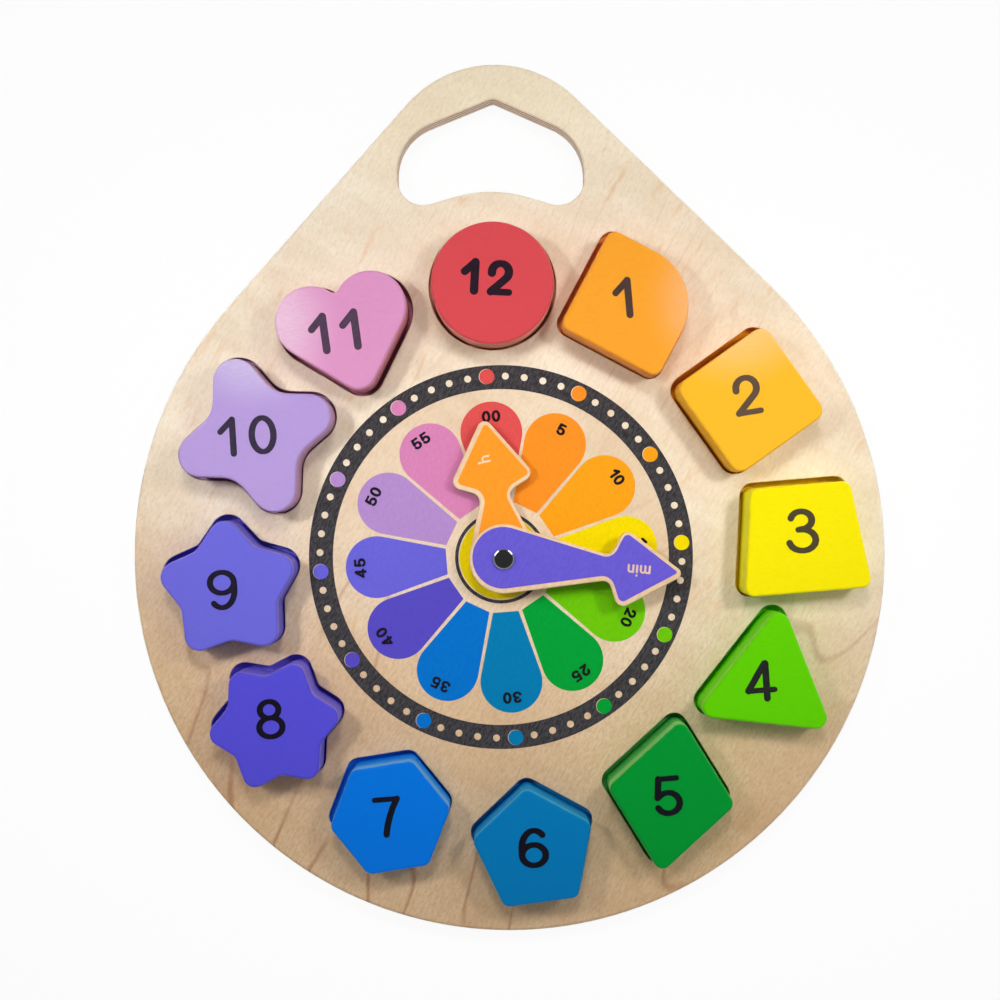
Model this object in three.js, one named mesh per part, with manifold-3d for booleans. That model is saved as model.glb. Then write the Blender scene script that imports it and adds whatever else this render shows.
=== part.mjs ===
// A wooden clock puzzle for a classroom: a teardrop board with a handle, twelve shape blocks that
// lift out of recesses round a dial, and two hands that turn on one rivet.
// The board lies on its back. +Z comes out of its face, +Y runs from the dial to the handle, and
// the origin is under the middle of the board, on the surface that it lies on. Millimetres.

import * as THREE from "three";
import { mergeVertices } from "three/addons/utils/BufferGeometryUtils.js";
import Module from "manifold-3d";

// Board
const bodyRadius = 130;
const headRadius = 40.5;
const backThickness = 4;
const frontThickness = 6;
const boardEdge = 1.2;

// Handle hole, in the head of the board
const gripRim = 7.7;
const gripGap = 9.5;
const gripRise = 3.9;
const gripX = -1.1;
const gripTurn = -2.3;

// Ring of recesses and the blocks in them
const ringRim = 10;
const ringX = 1.2;
const ringY = -2;
const blockSpacing = 3;
const blockHeight = 20;
const blockCorner = 3.2;
const blockEdge = 1;
const recessClearance = 1.25;
const seatGap = 0.3;

// Dial and hands
const dialMargin = 3;
const pivotX = -2.1;
const pivotY = -0.9;
const handThickness = 3.4;
const handEdge = 0.5;
const handHubRadius = 11.8;
const handBarb = 3;
const minuteSetback = 6;
const minuteNeck = 4.65;
const minuteNeckCurve = 3;
const minuteHeadLength = 26.1;
const minuteBarbReach = 12.6;
const minuteHeadSweep = 7.3;
const minuteTip = 2;
const minuteBearing = 97.2;
const hourSetback = 13;
const hourNeck = 5.4;
const hourNeckCurve = 3.4;
const hourHeadLength = 26.9;
const hourBarbReach = 13.4;
const hourHeadSweep = 7.7;
const hourTip = 2.6;
const hourBearing = -6;

// Rivet, washers and the bores that they pass through
const shankRadius = 2;
const boreClearance = 0.3;
const stackGap = 0.3;
const headRivetRadius = 3.6;
const headRivetHeight = 2.3;
const headRivetRim = 0.4;
const spacerRadius = 7;
const spacerThickness = 1;
const washerRadius = 6;
const washerThickness = 0.6;
const tailRadius = 3.4;
const tailHeight = 0.9;
const tailChamfer = 0.4;
const tailWasherRadius = 5;
const tailWasherThickness = 0.8;
const counterboreClearance = 0.6;
const counterboreFloor = 1.6;

// Smoothness: how far a facet may lie inside its arc, and the widest angle that one may span
const arcSag = 0.12;
const widestStep = 22.5;
const edgeSteps = 2;
const roundSides = 24;
const cutOverrun = 1;

// Sizes that follow from the ones above
const hours = 12;
const pitchShare = Math.sin(Math.PI / hours);
const ringRadius = (bodyRadius - ringRim + blockSpacing / 2) / (1 + pitchShare);
const blockReach = ringRadius * pitchShare - blockSpacing / 2;
const headDistance = bodyRadius - ringRim + gripGap;
const bodyY = (bodyRadius - headRadius - headDistance) / 2;
const gripReach = headRadius - gripRim;
const faceZ = backThickness + frontThickness;
const boreRadius = shankRadius + boreClearance;

// Colours of the paints, wood and metal, as three.js reads them
const paint = {
  red: 0xe05155, orange: 0xfeac3c, amber: 0xfebb22, yellow: 0xf9e704, lime: 0x59c301,
  green: 0x018c33, teal: 0x026da7, blue: 0x016ccf, indigo: 0x5149ca, violet: 0x6c65d5,
  lilac: 0xb696d8, pink: 0xde94c4, handOrange: 0xfc9b2a, handPurple: 0x685acd,
};
const maple = { color: 0xe9d3b4, roughness: 0.62, metalness: 0 };
const steel = { color: 0xc9c9cc, roughness: 0.3, metalness: 1 };

const painted = (color) => ({ color, roughness: 0.42, metalness: 0 });
const radians = (degrees) => THREE.MathUtils.degToRad(degrees);
const polar = (reach, degrees) => [reach * Math.cos(radians(degrees)), reach * Math.sin(radians(degrees))];

// Every flat outline of this toy is a belt pulled round a few discs. A disc is [x, y, radius]: the
// belt runs outside one with a positive radius, which rounds a corner, and inside one with a
// negative radius, which rounds a notch. The discs are listed anticlockwise. A belt grown by some
// distance keeps that distance all round, so a recess is its block's outline, grown. Discs that
// just touch have a ratio of one here, which rounding must not carry past it.
function beltHeadings(discs) {
  return discs.map(([x, y, radius], i) => {
    const [nextX, nextY, nextRadius] = discs[(i + 1) % discs.length];
    const ratio = (nextRadius - radius) / Math.hypot(nextX - x, nextY - y);
    return Math.atan2(nextY - y, nextX - x) - Math.asin(THREE.MathUtils.clamp(ratio, -1, 1));
  });
}

function sweepOf(from, to, side) {
  const turn = 2 * Math.PI;
  const sweep = (((to - from) % turn) + turn) % turn;
  return side > 0 || sweep === 0 ? sweep : sweep - turn;
}

function stepsRound(radius, sweep) {
  const step = 2 * Math.acos(1 - arcSag / Math.abs(radius));
  return Math.ceil(Math.abs(sweep) / Math.min(step, radians(widestStep)));
}

function circlePoints([x, y, radius], grow) {
  const curve = new THREE.EllipseCurve(x, y, radius + grow, radius + grow);
  return curve.getPoints(stepsRound(radius, 2 * Math.PI)).slice(1);
}

function beltPoints(discs, grow = 0) {
  if (discs.length === 1) return circlePoints(discs[0], grow);
  const headings = beltHeadings(discs);
  return discs.flatMap(([x, y, radius], i) => {
    const from = headings[(i + discs.length - 1) % discs.length];
    const sweep = sweepOf(from, headings[i], radius);
    const steps = stepsRound(radius, sweep);
    return Array.from({ length: steps + 1 }, (_, k) => {
      const angle = from + (sweep * k) / steps - Math.PI / 2;
      const reach = radius + grow;
      return new THREE.Vector2(x + reach * Math.cos(angle), y + reach * Math.sin(angle));
    });
  });
}

// The same discs, turned by some degrees and then moved
function placed(discs, x, y, degrees = 0) {
  const move = new THREE.Vector2();
  return discs.map(([discX, discY, radius]) => {
    move.set(discX, discY).rotateAround(new THREE.Vector2(), radians(degrees));
    return [move.x + x, move.y + y, radius];
  });
}

const mirrored = (discs) => discs.map(([x, y, radius]) => [-x, y, radius]).reverse();

// Levels of a flat piece, from the bottom up. Each has a height and how far the outline draws in
// there, which rounds the rims with quarter circles.
function levels(bottom, top, lowerEdge, upperEdge) {
  const quarter = Array.from({ length: edgeSteps + 1 }, (_, k) => (k * Math.PI) / 2 / edgeSteps);
  const lower = lowerEdge > 0
    ? quarter.map((a) => [bottom + lowerEdge * (1 - Math.cos(a)), lowerEdge * (1 - Math.sin(a))])
    : [[bottom, 0]];
  const upper = upperEdge > 0
    ? quarter.map((a) => [top - upperEdge * (1 - Math.sin(a)), upperEdge * (1 - Math.cos(a))])
    : [[top, 0]];
  return [...lower, ...upper];
}

// A flat piece: its outline and its holes, carried up through the levels and closed at both ends.
// The rims of the holes stay sharp.
function plate(outline, holes, heights) {
  const rings = heights.map(([, inset]) => [
    beltPoints(outline, -inset), ...holes.map((hole) => beltPoints(hole)),
  ]);
  const counts = rings[0].map((ring) => ring.length);
  const starts = counts.map((_, i) => counts.slice(0, i).reduce((sum, n) => sum + n, 0));
  const perLevel = starts.at(-1) + counts.at(-1);
  const positions = rings.flatMap((level, k) => level.flat().flatMap((p) => [p.x, p.y, heights[k][0]]));
  const index = [];

  counts.forEach((count, loop) => {
    for (let level = 0; level + 1 < heights.length; level++) {
      for (let i = 0; i < count; i++) {
        const low = level * perLevel + starts[loop];
        const [a, b] = [low + i, low + ((i + 1) % count)];
        const [c, d] = [b + perLevel, a + perLevel];
        if (loop === 0) index.push(a, b, c, a, c, d);
        else index.push(a, c, b, a, d, c);
      }
    }
  });
  closeEnd(rings[0], 0, -1, index);
  closeEnd(rings.at(-1), perLevel * (heights.length - 1), 1, index);

  const geometry = new THREE.BufferGeometry();
  geometry.setAttribute("position", new THREE.Float32BufferAttribute(positions, 3));
  geometry.setIndex(index);
  geometry.computeVertexNormals();
  return geometry;
}

// Fills one end of a flat piece, with its triangles facing up or down
function closeEnd([outline, ...holes], first, facing, index) {
  const points = [outline, ...holes].flat();
  for (const [a, b, c] of THREE.ShapeUtils.triangulateShape(outline, holes)) {
    const area = THREE.ShapeUtils.area([points[a], points[b], points[c]]);
    if (area * facing > 0) index.push(first + a, first + b, first + c);
    else index.push(first + a, first + c, first + b);
  }
}

// A turned piece, from a profile of [radius, height] pairs that runs up its outside
function turned(profile) {
  const points = profile.map(([radius, height]) => new THREE.Vector2(radius, height));
  return new THREE.LatheGeometry(points, roundSides).rotateX(Math.PI / 2);
}

const disc = (radius, bottom, top) => turned([[0, bottom], [radius, bottom], [radius, top], [0, top]]);

const washer = (inner, outer, bottom, top) =>
  turned([[inner, bottom], [outer, bottom], [outer, top], [inner, top], [inner, bottom]]);

const wasm = await Module();
wasm.setup();

function asSolid(source) {
  const bare = source.clone();
  bare.deleteAttribute("normal");
  bare.deleteAttribute("uv");
  const merged = mergeVertices(bare);
  return new wasm.Manifold(new wasm.Mesh({
    numProp: 3,
    vertProperties: merged.attributes.position.array,
    triVerts: new Uint32Array(merged.index.array),
  }));
}

function cut(source, ...tools) {
  const result = tools.reduce((left, tool) => left.subtract(asSolid(tool)), asSolid(source));
  const mesh = result.getMesh();
  const geometry = new THREE.BufferGeometry();
  geometry.setAttribute("position", new THREE.Float32BufferAttribute(mesh.vertProperties, 3));
  geometry.setIndex(new THREE.Uint32BufferAttribute(mesh.triVerts, 1));
  geometry.computeVertexNormals();
  return geometry;
}

// Outlines of the twelve blocks. Lengths are shares of blockReach.
const size = (share) => share * blockReach;

function regularDiscs(sides, reachShare, firstDegrees) {
  const inner = size(reachShare) - blockCorner / Math.cos(Math.PI / sides);
  return Array.from({ length: sides }, (_, i) => [
    ...polar(inner, firstDegrees + (360 * i) / sides), blockCorner,
  ]);
}

function starDiscs(points, { tipShare, notchShare, lobeShare, filletShare }) {
  return Array.from({ length: points }, (_, i) => {
    const degrees = 90 + (360 * i) / points;
    const tip = polar(size(tipShare - lobeShare), degrees);
    const notch = polar(size(notchShare + filletShare), degrees + 180 / points);
    return [[...tip, size(lobeShare)], [...notch, -size(filletShare)]];
  }).flat();
}

function squareDiscs(sideShare, cornerShare, domeShare) {
  const half = size(sideShare) / 2;
  const near = half - size(cornerShare);
  const far = half - size(domeShare);
  const corner = size(cornerShare);
  return [[near, -near, corner], [far, far, size(domeShare)], [-near, near, corner], [-near, -near, corner]];
}

function trapezoidDiscs(topShare, bottomShare, heightShare) {
  const height = size(heightShare);
  const taper = (size(bottomShare) - size(topShare)) / 2 / height;
  const slant = Math.hypot(1, taper);
  const reach = height / 2 - blockCorner;
  const halfWidth = (y) => (size(topShare) + size(bottomShare)) / 4 - taper * y - blockCorner * slant;
  return [
    [halfWidth(-reach), -reach, blockCorner], [halfWidth(reach), reach, blockCorner],
    [-halfWidth(reach), reach, blockCorner], [-halfWidth(-reach), -reach, blockCorner],
  ];
}

function diamondDiscs(longShare, shortShare) {
  const slant = Math.hypot(size(longShare), size(shortShare));
  const high = size(longShare) - (blockCorner * slant) / size(shortShare);
  const wide = size(shortShare) - (blockCorner * slant) / size(longShare);
  return [[wide, 0, blockCorner], [0, high, blockCorner], [-wide, 0, blockCorner], [0, -high, blockCorner]];
}

// A triangle whose peak stands a little to one side of the middle of its base
function triangleDiscs({ peakXShare, peakShare, peakCurveShare, footShare, baseShare, footCurveShare }) {
  const footX = size(footShare - footCurveShare);
  const footY = size(footCurveShare - baseShare);
  return [
    [footX, footY, size(footCurveShare)],
    [size(peakXShare), size(peakShare - peakCurveShare), size(peakCurveShare)],
    [-footX, footY, size(footCurveShare)],
  ];
}

// The small disc in a heart's notch touches both lobes
function heartDiscs({ lobeXShare, lobeYShare, lobeShare, tipXShare, tipShare, tipCurveShare, filletShare }) {
  const rise = Math.sqrt((lobeShare + filletShare) ** 2 - lobeXShare ** 2);
  return [
    [size(tipXShare), size(tipCurveShare - tipShare), size(tipCurveShare)],
    [size(lobeXShare), size(lobeYShare), size(lobeShare)],
    [0, size(lobeYShare + rise), -size(filletShare)],
    [-size(lobeXShare), size(lobeYShare), size(lobeShare)],
  ];
}

const triangleShares = {
  peakXShare: 0.065, peakShare: 1.02, peakCurveShare: 0.165,
  footShare: 0.9, baseShare: 0.585, footCurveShare: 0.16,
};
const heartShares = {
  lobeXShare: 0.44, lobeYShare: 0.3, lobeShare: 0.52,
  tipXShare: 0.035, tipShare: 0.82, tipCurveShare: 0.27, filletShare: 0.08,
};
const sixStarShares = { tipShare: 0.935, notchShare: 0.725, lobeShare: 0.18, filletShare: 0.17 };
const fiveStarShares = { tipShare: 0.995, notchShare: 0.735, lobeShare: 0.22, filletShare: 0.2 };
const fourStarShares = { tipShare: 1.15, notchShare: 0.72, lobeShare: 0.32, filletShare: 0.45 };

const outlines = {
  circle: [[0, 0, size(0.885)]],
  arched_square: squareDiscs(1.6, 0.145, 0.85),
  square: squareDiscs(1.575, 0.18, 0.18),
  trapezoid: trapezoidDiscs(1.44, 1.855, 1.555),
  triangle: triangleDiscs(triangleShares),
  diamond: diamondDiscs(1.13, 0.935),
  pentagon: regularDiscs(5, 0.915, 90),
  hexagon: regularDiscs(6, 0.88, 0),
  six_point_star: starDiscs(6, sixStarShares),
  five_point_star: starDiscs(5, fiveStarShares),
  four_point_star: starDiscs(4, fourStarShares),
  heart: heartDiscs(heartShares),
};

// Where each recess is: its clock bearing from the ring's centre in degrees, its distance as a
// share of ringRadius, and its turn in degrees. The last pair says where the block lies in its
// recess, as shares of the clearance: most have slid a little towards the foot of the board.
const placeShares = [
  ["block_12", "circle", "red", -2, 0.986, 0, [0, -0.4]],
  ["block_01", "arched_square", "orange", 27, 1.008, -30.2, [0.1, -0.75]],
  ["block_02", "square", "amber", 57.6, 1.007, 33.1, [0.2, -0.5]],
  ["block_03", "trapezoid", "yellow", 87.3, 1.021, 2.4, [0, -0.55]],
  ["block_04", "triangle", "lime", 117.4, 0.982, -8.4, [0, -0.55]],
  ["block_05", "diamond", "green", 148.4, 0.979, -10.2, [0.4, -0.55]],
  ["block_06", "pentagon", "teal", 178.2, 1.008, 5.4, [0, -0.55]],
  ["block_07", "hexagon", "blue", 208.7, 0.992, 6.7, [0.6, -0.45]],
  ["block_08", "six_point_star", "indigo", 238.6, 1.015, -23.5, [0.35, -0.7]],
  ["block_09", "five_point_star", "violet", 267.3, 1.01, 2, [0.48, -0.64]],
  ["block_10", "four_point_star", "lilac", 298.4, 1.018, 17.3, [0.6, -0.3]],
  ["block_11", "heart", "pink", 326.1, 0.987, 12.5, [-0.28, 0.1]],
];

const recesses = placeShares.map(([name, shape, colour, bearing, reachShare, turn, lieShare]) => {
  const [x, y] = polar(ringRadius * reachShare, 90 - bearing);
  return { name, shape, colour, turn, lieShare, x: x + ringX, y: y + ringY + bodyY };
});

// The board: two panels glued face to face. The front one has the recesses cut through it, so the
// back one is the floor of every recess. The handle hole goes through both.
const boardDiscs = [[0, bodyY, bodyRadius], [0, bodyY + headDistance, headRadius]];

// Peak, shoulder and lobe of the handle hole, and the swelling under the palm. Shares of gripReach.
function gripDiscs() {
  const [peakXShare, peakShare, peakCurveShare] = [0.022, 0.75, 0.08];
  const [palmShare, palmCurveShare] = [0.225, 1.3];
  const [shoulderXShare, shoulderYShare, shoulderCurveShare] = [0.43, -0.03, 0.555];
  const [lobeXShare, lobeYShare, lobeCurveShare] = [0.714, -0.095, 0.27];
  const grip = (share) => share * gripReach;
  const side = [
    [grip(lobeXShare), grip(lobeYShare), grip(lobeCurveShare)],
    [grip(shoulderXShare), grip(shoulderYShare), grip(shoulderCurveShare)],
  ];
  const peak = [grip(peakXShare), grip(peakShare - peakCurveShare), grip(peakCurveShare)];
  const palm = [0, -grip(palmShare + palmCurveShare), -grip(palmCurveShare)];
  const outline = [palm, ...side, peak, ...mirrored(side)];
  return placed(outline, gripX, bodyY + headDistance + gripRise, gripTurn);
}

const boreDiscs = [[pivotX, bodyY + pivotY, boreRadius]];

function frontBoard() {
  const recessDiscs = recesses.map(({ shape, x, y, turn }) => {
    const grown = outlines[shape].map(([discX, discY, radius]) => [discX, discY, radius + recessClearance]);
    return placed(grown, x, y, turn);
  });
  return plate(boardDiscs, [gripDiscs(), boreDiscs, ...recessDiscs], levels(backThickness, faceZ, 0, boardEdge));
}

const counterboreRadius = tailWasherRadius + counterboreClearance;
const counterboreTop = backThickness - counterboreFloor;

function backBoard() {
  const panel = plate(boardDiscs, [gripDiscs(), boreDiscs], levels(0, backThickness, boardEdge, 0));
  const counterbore = disc(counterboreRadius, -cutOverrun, counterboreTop);
  return cut(panel, counterbore.translate(pivotX, bodyY + pivotY, 0));
}

// A hand points along +Y from its pivot: a round hub, a neck, and an arrowhead with swept barbs.
// Its upper rim is rounded.
function hand({ reach, neck, neckCurve, headLength, barbReach, headSweep, tip }) {
  const neckY = reach - headLength;
  const side = [
    [neck + neckCurve, neckY, -neckCurve],
    [barbReach - handBarb, neckY + headSweep, handBarb],
  ];
  const outline = [[0, 0, handHubRadius], ...side, [0, reach - tip, tip], ...mirrored(side)];
  return plate(outline, [[[0, 0, boreRadius]]], levels(0, handThickness, 0, handEdge));
}

const dialRadius = ringRadius - size(fourStarShares.tipShare) - dialMargin;
const minuteReach = dialRadius - minuteSetback;
const minuteHand = {
  reach: minuteReach, neck: minuteNeck, neckCurve: minuteNeckCurve,
  headLength: minuteHeadLength, barbReach: minuteBarbReach, headSweep: minuteHeadSweep,
  tip: minuteTip,
};
const hourHand = {
  reach: minuteReach - hourSetback, neck: hourNeck, neckCurve: hourNeckCurve,
  headLength: hourHeadLength, barbReach: hourBarbReach, headSweep: hourHeadSweep,
  tip: hourTip,
};

// The stack on the rivet, from the face of the board up, with a small gap under each piece
const spacerZ = faceZ + stackGap;
const hourZ = spacerZ + spacerThickness + stackGap;
const washerZ = hourZ + handThickness + stackGap;
const minuteZ = washerZ + washerThickness + stackGap;
const rivetHeadZ = minuteZ + handThickness + stackGap;
const tailWasherTop = counterboreTop - stackGap;
const tailTop = tailWasherTop - tailWasherThickness - stackGap;

// One rivet holds the whole stack: a domed head above, a shank, and a tail set in the counterbore
function rivet() {
  const rimZ = rivetHeadZ + headRivetRim;
  const rise = headRivetHeight - headRivetRim;
  const domeRadius = (headRivetRadius ** 2 + rise ** 2) / (2 * rise);
  const domeAngle = Math.asin(headRivetRadius / domeRadius);
  const domeSteps = Math.ceil(domeAngle / radians(widestStep)) * edgeSteps;
  const dome = Array.from({ length: domeSteps + 1 }, (_, k) => {
    const angle = domeAngle * (1 - k / domeSteps);
    return [domeRadius * Math.sin(angle), rimZ + rise - domeRadius * (1 - Math.cos(angle))];
  });
  dome[domeSteps][0] = 0;
  return turned([
    [0, tailTop - tailHeight], [tailRadius - tailChamfer, tailTop - tailHeight],
    [tailRadius, tailTop - tailHeight + tailChamfer], [tailRadius, tailTop], [shankRadius, tailTop],
    [shankRadius, rivetHeadZ], [headRivetRadius, rivetHeadZ], ...dome,
  ]);
}

const group = new THREE.Group();

function add(name, geometry, finish, parent = group) {
  const mesh = new THREE.Mesh(geometry, new THREE.MeshStandardMaterial(finish));
  mesh.name = name;
  parent.add(mesh);
  return mesh;
}

add("back_board", backBoard(), maple);
add("front_board", frontBoard(), maple);

for (const { name, shape, colour, turn, lieShare, x, y } of recesses) {
  const body = plate(outlines[shape], [], levels(0, blockHeight, blockEdge, blockEdge));
  const block = add(`${name}_${shape}`, body, painted(paint[colour]));
  const [slideX, slideY] = lieShare.map((share) => share * recessClearance);
  block.position.set(x + slideX, y + slideY, backThickness + seatGap);
  block.rotation.z = radians(turn);
}

const pivot = new THREE.Group();
pivot.position.set(pivotX, bodyY + pivotY, 0);
group.add(pivot);
add("spacer_washer", washer(boreRadius, spacerRadius, spacerZ, spacerZ + spacerThickness), steel, pivot);
const hour = add("hour_hand", hand(hourHand), painted(paint.handOrange), pivot);
hour.position.z = hourZ;
hour.rotation.z = radians(-hourBearing);
add("middle_washer", washer(boreRadius, washerRadius, washerZ, washerZ + washerThickness), steel, pivot);
const minute = add("minute_hand", hand(minuteHand), painted(paint.handPurple), pivot);
minute.position.z = minuteZ;
minute.rotation.z = radians(-minuteBearing);
const tailWasherBottom = tailWasherTop - tailWasherThickness;
add("tail_washer", washer(boreRadius, tailWasherRadius, tailWasherBottom, tailWasherTop), steel, pivot);
add("rivet", rivet(), steel, pivot);

export default group;
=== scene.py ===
# %% [markdown]
# A wooden clock puzzle for a classroom, seen from straight above. The board is pale plywood in the
# shape of a drop, with a handle hole. Twelve coloured blocks stand in recesses round a printed
# dial, and two wooden hands turn on one rivet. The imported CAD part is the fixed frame. It could be
# shown as it is, with better materials, but its curves are made of few facets. So most pieces are
# built again here with finer curves, on the same outlines and in the same places.

import math

import bmesh
import bpy
from mathutils import Matrix, Vector
from mathutils.geometry import delaunay_2d_cdt


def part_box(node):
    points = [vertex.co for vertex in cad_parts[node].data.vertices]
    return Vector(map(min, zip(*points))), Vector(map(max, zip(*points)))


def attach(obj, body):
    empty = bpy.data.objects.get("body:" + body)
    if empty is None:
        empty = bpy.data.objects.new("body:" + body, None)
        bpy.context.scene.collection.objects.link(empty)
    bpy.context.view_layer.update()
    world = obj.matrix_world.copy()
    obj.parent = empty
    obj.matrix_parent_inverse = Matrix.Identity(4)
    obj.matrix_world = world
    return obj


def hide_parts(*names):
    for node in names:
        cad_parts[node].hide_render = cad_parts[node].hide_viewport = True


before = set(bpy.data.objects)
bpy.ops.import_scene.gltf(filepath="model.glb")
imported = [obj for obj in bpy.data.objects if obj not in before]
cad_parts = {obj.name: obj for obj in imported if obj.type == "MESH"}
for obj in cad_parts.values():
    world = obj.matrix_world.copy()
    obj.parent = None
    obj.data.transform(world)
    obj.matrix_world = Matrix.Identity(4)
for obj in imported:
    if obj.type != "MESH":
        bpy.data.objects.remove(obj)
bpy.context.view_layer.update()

# %% [markdown]
# Sizes are in millimetres, as on a maker's drawing, and MM turns them into Blender's metres. They
# are the sizes of the CAD part. The board has a round body and a round head, and the ring of blocks
# fills the body up to its rim. An edge is the radius of a rounded rim, and a narrow flat band
# follows each rim, so that its shading doesn't run on over the face.

# %% Sizes of the board and the ring
MM = 0.001
body_radius = 130
head_radius = 40.5
back_thickness = 4
face_z = 10
board_edge = 1.2
grip_edge = 0.8
recess_edge = 0.4
block_edge = 1.0
flat_band = 0.06
ring_rim = 10
block_spacing = 3
block_corner = 3.2
recess_clearance = 1.25
grip_gap = 9.5
bore_radius = 2.3
print_depth = 0.03
print_rise = 0.05
counterbore_radius = 5.6
counterbore_depth = 2.4
pitch_share = math.sin(math.pi / 12)
ring_radius = (body_radius - ring_rim + block_spacing / 2) / (1 + pitch_share)
block_reach = ring_radius * pitch_share - block_spacing / 2
head_distance = body_radius - ring_rim + grip_gap
body_y = (body_radius - head_radius - head_distance) / 2
ring_middle = (1.2, body_y - 2)
pivot = (-2.1, body_y - 0.9)
print("ring radius", round(ring_radius, 2), "block reach", round(block_reach, 2))

# %% [markdown]
# Every flat outline of this toy is a belt pulled round a few discs, because its corners and notches
# are all round. A disc with a negative radius is one that the belt passes on the inside, which
# makes a notch. Curves or a bevel could do this too, but a belt grown by some distance keeps that
# distance all round, which gives recesses, rounded rims and printed margins from one function.

# %% Belt round discs
def belt(discs, grow=0.0, step=5.0):
    """Points of a belt round discs [x, y, signed radius], listed anticlockwise"""
    headings = []
    for (x, y, radius), (next_x, next_y, next_radius) in zip(discs, discs[1:] + discs[:1]):
        span = math.hypot(next_x - x, next_y - y)
        ratio = (next_radius - radius) / span if span else 0
        headings.append(math.atan2(next_y - y, next_x - x) - math.asin(max(-1, min(1, ratio))))
    points = []
    for i, (x, y, radius) in enumerate(discs):
        sweep = (headings[i] - headings[i - 1]) % math.tau
        if len(discs) == 1:
            sweep = math.tau
        elif radius < 0 < sweep:
            sweep -= math.tau
        steps = max(1, math.ceil(abs(math.degrees(sweep)) / step))
        for k in range(steps if len(discs) == 1 else steps + 1):
            angle = headings[i - 1] + sweep * k / steps - math.pi / 2
            reach = radius + grow
            points.append((x + reach * math.cos(angle), y + reach * math.sin(angle)))
    return points


def placed(discs, x, y, degrees=0.0):
    """The same discs, turned and then moved"""
    cosine, sine = math.cos(math.radians(degrees)), math.sin(math.radians(degrees))
    return [[cosine * u - sine * v + x, sine * u + cosine * v + y, radius] for u, v, radius in discs]


def circle(middle, radius, step=5.0):
    return belt([[*middle, radius]], step=step)


def mirrored(discs):
    return [[-x, y, radius] for x, y, radius in reversed(discs)]


def polar(reach, degrees):
    return reach * math.cos(math.radians(degrees)), reach * math.sin(math.radians(degrees))


# %% [markdown]
# A wall rises from one outline through a list of levels, which round its rims. A flat area is
# filled by a constrained triangulation, which takes outlines that overlap or lie in each other and
# tells which outline each triangle came from. So one helper fills a board with holes and joins the
# strokes of a numeral. A Boolean modifier could do both, but it is slower and leaves thin slivers.

# %% Walls, flat areas and thin films of print
merge_gap = 0.002
shortest_edge = 0.0005
sharp_angle = math.radians(38)


def levels(bottom, top, lower=0.0, upper=0.0, steps=5):
    """Heights and insets up a wall whose rims are rounded, with a narrow flat band at each end"""
    quarter = [math.pi / 2 * k / steps for k in range(steps + 1)]
    low = [(bottom, 0.0)]
    high = [(top, 0.0)]
    if lower:
        low = [(bottom + lower * (1 - math.cos(a)), lower * (1 - math.sin(a))) for a in quarter]
        low.insert(0, (bottom, lower + flat_band))
    if upper:
        high = [(top - upper * (1 - math.sin(a)), upper * (1 - math.cos(a))) for a in quarter]
        high.append((top, upper + flat_band))
    return low + high


def add_corner(bm, x, y, z):
    return bm.verts.new((x * MM, y * MM, z * MM))


def add_rings(bm, rings, inwards=False, slot=0):
    """Faces between each ring of corners and the next"""
    for low, high in zip(rings, rings[1:]):
        for i in range(len(low)):
            j = (i + 1) % len(low)
            quad = (low[i], low[j], high[j], high[i])
            bm.faces.new(quad[::-1] if inwards else quad).material_index = slot


def add_wall(bm, discs, heights, hole=False, slot=0, step=5.0):
    """A wall up through the levels. The wall of a hole faces inwards and opens at its rims."""
    side = 1 if hole else -1
    rings = []
    for height, inset in heights:
        rings.append([add_corner(bm, x, y, height) for x, y in belt(discs, side * inset, step)])
    add_rings(bm, rings, hole, slot)


def filled(kept, dropped=()):
    """Points and triangles of the area inside the kept outlines and outside the dropped ones"""
    loops = [*kept, *dropped]
    points = [Vector(point) for loop in loops for point in loop]
    faces = []
    for loop in loops:
        start = sum(len(face) for face in faces)
        faces.append(list(range(start, start + len(loop))))
    made = delaunay_2d_cdt(points, [], faces, 1, 0.00001)
    owners = made[5]
    inside = [i for i, owner in enumerate(owners) if owner and max(owner) < len(kept)]
    return made[0], [(made[2][i], owners[i]) for i in inside]


def add_cap(bm, height, kept, dropped=(), up=True, slots=None):
    """Closes a flat end. Where slots is given, it names a material for each kept outline."""
    points, triangles = filled(kept, dropped)
    used = sorted({i for triangle, owner in triangles for i in triangle})
    corners = {i: add_corner(bm, *points[i], height) for i in used}
    for triangle, owner in triangles:
        order = triangle if up else triangle[::-1]
        face = bm.faces.new([corners[i] for i in order])
        face.material_index = slots[max(owner)] if slots else 0
    return corners, triangles


def shown(name, data):
    """A new object in the scene"""
    made = bpy.data.objects.new(name, data)
    bpy.context.scene.collection.objects.link(made)
    return made


def piece(name, bm, materials, body, nodes=()):
    """Turns the built shape into an object that rides on a body"""
    bmesh.ops.remove_doubles(bm, verts=bm.verts, dist=merge_gap * MM)
    bmesh.ops.dissolve_degenerate(bm, edges=bm.edges, dist=shortest_edge * MM)
    mesh = bpy.data.meshes.new(name)
    bm.to_mesh(mesh)
    bm.free()
    for material in materials:
        mesh.materials.append(material)
    mesh.shade_smooth()
    mesh.set_sharp_from_angle(angle=sharp_angle)
    made = shown(name, mesh)
    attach(made, body)
    if nodes:
        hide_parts(*nodes)
    print(name, len(mesh.polygons), "faces")


def film(name, bottom, top, kept, finish, body, dropped=()):
    """A thin closed layer of print, as a piece of its own"""
    bm = bmesh.new()
    low, triangles = add_cap(bm, bottom, kept, dropped, up=False)
    high, triangles = add_cap(bm, top, kept, dropped)
    sides = {side for (a, b, c), owner in triangles for side in [(a, b), (b, c), (c, a)]}
    for a, b in sorted(sides):
        if (b, a) not in sides:
            bm.faces.new((low[a], low[b], high[b], high[a]))
    piece(name, bm, [finish], body)


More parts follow.
